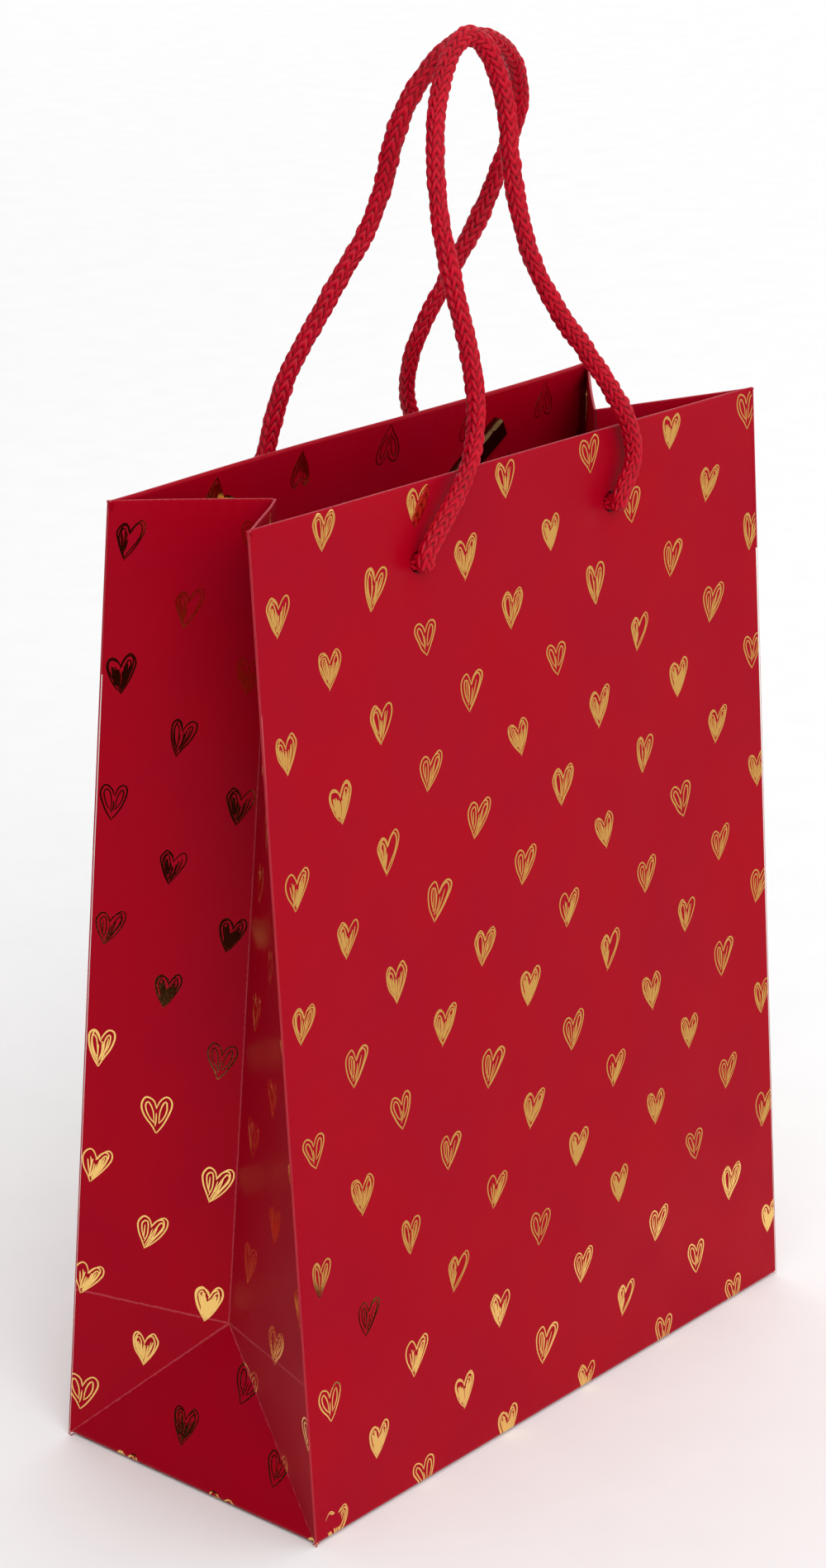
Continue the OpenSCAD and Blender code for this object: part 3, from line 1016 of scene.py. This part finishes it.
for side, face in SIDES:
    holes = [(side * x, HOLE_V, HOLE_R) for x in HOLE_XS]
    card = Region(rounded(-85, 85, 201, 234, 0.8), behind_panel(side, CARD_DEPTH), (), holes)
    made = card.solid(f"{face}_hem_card", CARD_T, [CARD, CARD], 0.05)
    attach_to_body(finished(made, "card", f"{face}_card"), f"{face}_side")

seam_far, seam_near = (-v.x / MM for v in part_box("side_seam_flap"))
seam = Region(
    [(seam_near, 42), (seam_far, 44), (seam_far, 191), (seam_near, 193)],
    behind_panel(-1, CARD_DEPTH),
)
made = seam.solid("seam_flap", PAPER, [WHITE, WHITE])
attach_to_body(finished(made, "plain_paper", "side_seam_flap"), "back_side")

board_low, board_high = (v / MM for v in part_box("base_board"))


def place_board(a, b, d):
    """The board's face looks up; it dishes a little, as cut card does."""
    dish = 0.25 * ((a / board_high.x) ** 2) * smooth(np.abs(a), 20, 80)
    return np.stack([a, b, board_high.z - d + dish * 0.4], -1)


outline = rounded(-board_high.x, board_high.x, board_low.y, board_high.y, 1.5)
board = Region(outline, place_board, step=6.0)
made = board.solid("base_board_card", board_high.z - board_low.z, [BOARD, BOARD], 0.1)
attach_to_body(finished(made, "card", "base_board"), "board")


# ---- cords

FRONT_ROUTE = [
    (-35.2, -0.1, 2), (-31, 0.2, 7.5), (-26, 0.9, 14), (-20.5, 2.1, 21.5), (-16.5, 4.5, 31),
    (-15, 7.7, 42), (-15, 11, 52.5), (-15.5, 13.7, 62.5), (-15, 16.5, 72.5), (-13, 19.2, 82),
    (-10, 21.7, 91), (-5, 24.1, 99.7), (0.5, 25.6, 105.4), (6, 26.4, 107.9), (11.2, 26, 105.8),
    (14.3, 24.4, 99.8), (14.5, 21.7, 91), (12.5, 18.7, 80.5), (11.5, 15.5, 69.5),
    (13, 12.1, 57.5), (18, 9, 46.5), (24.5, 6.2, 37), (31, 3.9, 27.5), (36, 1.9, 18.5),
    (38, 0.8, 9.5), (35, -0.1, 2),
]
BACK_ROUTE = [
    (-36.6, -0.1, 2.7), (-34.5, 0.3, 9), (-31.5, 1.5, 17), (-30, 3.3, 25.5), (-27, 5.3, 34.5),
    (-21.5, 8.1, 44.5), (-15.5, 10.7, 54.5), (-9.5, 13.5, 64.5), (-6.5, 15.9, 74.5),
    (-5.5, 18.1, 84.5), (-3, 20.1, 93), (2, 21.9, 100), (8, 23.1, 104.7), (15, 23.7, 106.5),
    (22.5, 23.5, 105.4), (29.5, 22.5, 102), (35, 21, 96.4), (38, 19.4, 89.5), (37.5, 17.4, 81.5),
    (35.5, 15.3, 73), (32.5, 13, 64), (28, 10.9, 55.5), (23, 8.7, 46.5), (18.5, 6.3, 37.5),
    (16.5, 3.9, 28), (18.5, 1.7, 18.5), (23.5, 0.4, 10.5), (31, -0.1, 2),
]
STITCH = 2.5  # length of one stitch along the cord
WALES = 5  # rows of stitches round it
PER_STITCH, PER_WALE = 9, 12  # mesh points in a stitch and across a wale
STITCH_SIZES = (0.68, 1.04)
CORE, BEAD = 0.7, 0.95  # how far the core is inside the radius, and a stitch stands out from it
SLANT = 0.85  # how far a stitch leans back towards its wale's edges, in stitches


def curve_through(points, step):
    """Evenly spaced points on a smooth curve through the given ones."""
    p = with_ends(points)
    shares = np.linspace(0, 1, 24, endpoint=False)
    dense = [between(p, k, t) for k in range(1, len(p) - 2) for t in shares]
    dense = np.array([*dense, p[-2]])
    run = np.concatenate([[0], np.cumsum(np.linalg.norm(np.diff(dense, axis=0), axis=1))])
    count = max(2, round(run[-1] / step))
    at_run = np.linspace(0, run[-1], count + 1)
    return np.stack([np.interp(at_run, run, dense[:, k]) for k in range(3)], -1), run[-1]


def knit(name, points, seed, twist=0.9, pressed=0.0, thick=1.0):
    """A closed knitted tube along the points, with rounded ends. pressed is how much wider
    than round its ends are, and thick is its thickness against CORD_D."""
    line, length = curve_through(points, STITCH / PER_STITCH)
    rng = random.Random(seed)
    along = unit(np.gradient(line, axis=0))
    across = unit(np.cross(along[0], [0.3, 0.9, 0.1]))
    n = len(line)
    sides = WALES * PER_WALE
    turn = np.arange(sides) / sides * math.tau
    s = np.linspace(0, length, n)
    radius = CORD_D / 2
    end_gap = np.minimum(s, length - s)
    dome = np.sqrt(np.clip(1 - (1 - np.clip(end_gap / radius, 0, 1)) ** 2, 0, 1))
    phases = [rng.uniform(0, math.tau) for _ in range(4)]
    stitches = range(int(length / STITCH) + 4)
    sizes = np.array([[rng.uniform(*STITCH_SIZES) for _ in stitches] for _ in range(WALES)])
    points, heights, yarn = [], [], []
    flatten = pressed * np.exp(-((end_gap / 8) ** 2))
    for k in range(n):
        across = unit(across - along[k] * (across @ along[k]))
        other = np.cross(along[k], across)
        spiral = twist * math.sin(s[k] / 34 + phases[0]) + s[k] / 70
        wale = (turn / math.tau * WALES + 0.5 / PER_WALE) % 1
        leg = np.abs(2 * wale - 1)  # 0 in the middle of a wale, 1 between two wales
        row = np.floor(turn / math.tau * WALES + 0.5 / PER_WALE)
        stitch = s[k] / STITCH + SLANT * leg + 0.37 * row + 0.1 * np.sin(s[k] / 9 + phases[1] + row)
        bead = np.sqrt(np.clip(1 - (2 * (stitch % 1) - 1) ** 2, 0, 1))
        across_leg = np.sqrt(np.clip(1 - ((leg - 0.5) / 0.58) ** 2, 0, 1))
        height = bead * across_leg * sizes[row.astype(int) % WALES, stitch.astype(int)]
        loose = 1 + 0.05 * math.sin(s[k] / 13 + phases[2]) + 0.03 * math.sin(s[k] / 5.1 + phases[3])
        flat = 0.07 * math.sin(s[k] / 21 + phases[1])
        r = (radius - CORE + BEAD * height) * loose * dome[k] * thick
        angle = turn + spiral
        x, y = np.cos(angle) * r * (1 + flat), np.sin(angle) * r * (1 - flat)
        offset = x[:, None] * across + y[:, None] * other
        points.append(line[k] + offset * [1 + flatten[k], 1 - 0.6 * flatten[k], 1])
        heights.append(height)
        yarn.append(np.stack([stitch * 0.6 + row * 7, leg * 5, np.full(sides, s[k] * 0.05)], -1))
    points, heights, yarn = (np.array(x)[1:-1] for x in (points, heights, yarn))
    n -= 2
    ring, last, pole = [(j, (j + 1) % sides) for j in range(sides)], (n - 1) * sides, n * sides
    faces = [[k + i, k + j, k + sides + j, k + sides + i]
             for k in range(0, last, sides) for i, j in ring]
    for i, j in ring:
        faces += [[pole, j, i], [pole + 1, last + i, last + j]]
    points = np.concatenate([points.reshape(-1, 3), line[:1], line[-1:]])
    heights = np.concatenate([heights.ravel(), [0.5, 0.5]])
    yarn = np.concatenate([yarn.reshape(-1, 3), [[0, 0, 0], [0, 0, 0]]])
    values = {"height": heights, "yarn": yarn}
    return add_object(name, points, faces, [0] * len(faces), [YARN], values), line, length


def settle_back(p):
    """The back cord stands on the twisted back panel, and leaves the twist above the mouth."""
    p = np.asarray(p, float).copy()
    share = 1 - smooth(p[:, 2], BAG_H, BAG_H + 35)
    p[:, 1] += share * (back_twist(p) - p)[:, 1]
    return p


for (side, face), route in zip(SIDES, (FRONT_ROUTE, BACK_ROUTE)):
    pivot = np.array(HINGES[f"{face}_handle_swing"]["pos_m"]) / MM
    route = [(*route[0][:2], -CORD_D / 2), *route, (*route[-1][:2], -CORD_D / 2)]
    points = []
    for x, y, z in route:
        hole = HOLE_XS[0] if x < 0 else HOLE_XS[1]
        near, lean = math.exp(-((max(z, 0) / 6.5) ** 2)), 2.0 * math.exp(-max(z, 0) / 9.5)
        middle = abs(z) > 60  # the top of the handle is over neither hole
        points.append(pivot + [x if middle else x + (hole - x) * near, side * (y + lean), z])
    points = np.array(points)
    if side < 0:
        points = settle_back(points)
    cord, line, length = knit(f"{face}_handle_knit", points, face, pressed=0.18, thick=0.95)
    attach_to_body(finished(cord, "red_cord", f"{face}_handle_cord"), f"{face}_handle")
    for x, hand in zip(HOLE_XS, ("left", "right")):
        depths = np.linspace(-3.9, 3.0, 6)  # from in front of the hole to behind it
        through = on_panel(side, np.full(6, x), np.full(6, HOLE_V), depths)
        end, _, _ = knit(f"{face}_{hand}_cord_end_knit", through, f"{face}{hand}", 0.2, thick=0.86)
        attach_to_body(finished(end, "red_cord", f"{face}_{hand}_cord_end"), f"{face}_side")


# ---- clips

CLIP_L, CLIP_W, CLIP_T = 26.0, 5.3, 2.6
CLIP_REACH = 18.0  # how much of its length is beyond the cord, which is at its origin
CLIP_ROUND = 0.9  # radius of its rounded edges
CLIP_OUTLINE = np.array(rounded(CLIP_REACH - CLIP_L, CLIP_REACH, -CLIP_W / 2, CLIP_W / 2, 0.8, 4))
CLIP_TURNS = {
    ("front", "left"): 25, ("front", "right"): -40, ("back", "left"): 150, ("back", "right"): 30,
}


def place_clip(side, x, turn):
    """The clip's folded face: rounded edges, the closed seam along it and two pressed ribs."""
    c, s = math.cos(math.radians(turn)), math.sin(math.radians(turn))

    def place(a, b, d):
        flat = np.stack([a, b], -1)
        gap = np.minimum(edge_gap(flat, CLIP_OUTLINE), CLIP_ROUND)
        edge = CLIP_ROUND - np.sqrt(np.maximum(0.81 - (CLIP_ROUND - gap) ** 2, 0))
        seam = 0.4 * np.exp(-((b / 0.28) ** 2)) * smooth(gap, 0.2, 0.9)
        ribs = sum(0.22 * np.exp(-(((a - m) / 0.7) ** 2)) for m in (-1.5, 3.0, 13.0))
        share = 1 - d / CLIP_T
        height = CLIP_T - d - share * (edge + seam + ribs * smooth(gap, 0.1, 0.9))
        u = a * c - b * s
        w = a * s + b * c
        return on_panel(side, x + side * u, HOLE_V + w, CLIP_DEPTH + height)
    return place


for (face, hand), turn in CLIP_TURNS.items():
    side, x = (1 if face == "front" else -1), HOLE_XS[0 if hand == "left" else 1]
    turn = turn if side > 0 else 180 - turn
    clip = Region(CLIP_OUTLINE, place_clip(side, x, turn), step=0.9)
    made = clip.solid(f"{face}_{hand}_clip_metal", CLIP_T, [CLIP_METAL_PAINTED_DARK, CLIP_METAL_PAINTED_DARK], 0.0)
    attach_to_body(finished(made, "gold", f"{face}_{hand}_clip"), f"{face}_side")


# ---- studio

def floor_material():
    m = Look("floor_white")
    coords = m.tree.nodes.new("ShaderNodeTexCoord").outputs["Object"]
    base = m.mix(m.spread(m.noise(coords, 40.0)), (0.92, 0.92, 0.92), (0.94, 0.94, 0.94))
    return m.shade(base, 0.9, {"Specular IOR Level": 0.1})


def on_floor(low, high, z):
    return [(low[0], low[1], z), (high[0], low[1], z), (high[0], high[1], z), (low[0], high[1], z)]


def backdrop(name, corners, material):
    """A flat quad that isn't part of the object."""
    mesh = bpy.data.meshes.new(name)
    mesh.from_pydata(corners, [], [(0, 1, 2, 3)])
    mesh.materials.append(material)
    made = new_object(name, mesh)
    return made


def area_light(name, where, target, size, power):
    data = bpy.data.lights.new(name, "AREA")
    data.shape = "RECTANGLE"
    data.size, data.size_y = size
    data.energy = power
    lamp = new_object(name, data)
    lamp.location = where
    lamp.rotation_euler = (Vector(target) - Vector(where)).to_track_quat("-Z", "Y").to_euler()


def studio_world():
    """Even white light from all round."""
    world = bpy.data.worlds.new("studio")
    world.use_nodes = True
    background = world.node_tree.nodes["Background"]
    background.inputs["Color"].default_value = (1, 1, 1, 1)
    background.inputs["Strength"].default_value = 1.06
    bpy.context.scene.world = world


def flag(name, corners, colour, blocks_light=False):
    """A matt board beside the set, hidden from the camera, that the bag's gloss reflects."""
    made = backdrop(name, corners, Look(name).shade(colour, 1.0, {"Specular IOR Level": 0.0}))
    made.visible_camera = False
    made.visible_diffuse = made.visible_shadow = blocks_light


FLOOR_HALF = 40
FLAG_Z = 0.001  # flags that lie just above the floor
DARK, PALE = (0.016, 0.003, 0.003), (0.6, 0.5, 0.42)
BACK_FLAG = [(-2.7, -0.6, 0), (-0.2, 2.6, 0), (-0.2, 2.6, 1.9), (-2.7, -0.6, 1.9)]

floor_corners = on_floor((-FLOOR_HALF, -FLOOR_HALF), (FLOOR_HALF, FLOOR_HALF), 0)
floor = backdrop("floor", floor_corners, floor_material())
floor.location.z = -0.0002  # just under the bag
studio_world()
flag("flag_floor_left", on_floor((-6, -6), (0.03, -0.1), FLAG_Z), DARK)
flag("flag_floor_front", on_floor((0.03, -2.6), (2.6, -0.1), FLAG_Z), PALE)
flag("flag_back_left", BACK_FLAG, DARK, True)
bpy.context.scene.view_settings.view_transform = "Standard"

area_light("soft_front_left", (-1.7, -2.7, 2.3), (0, 0, 0.12), (2.0, 2.0), 48)
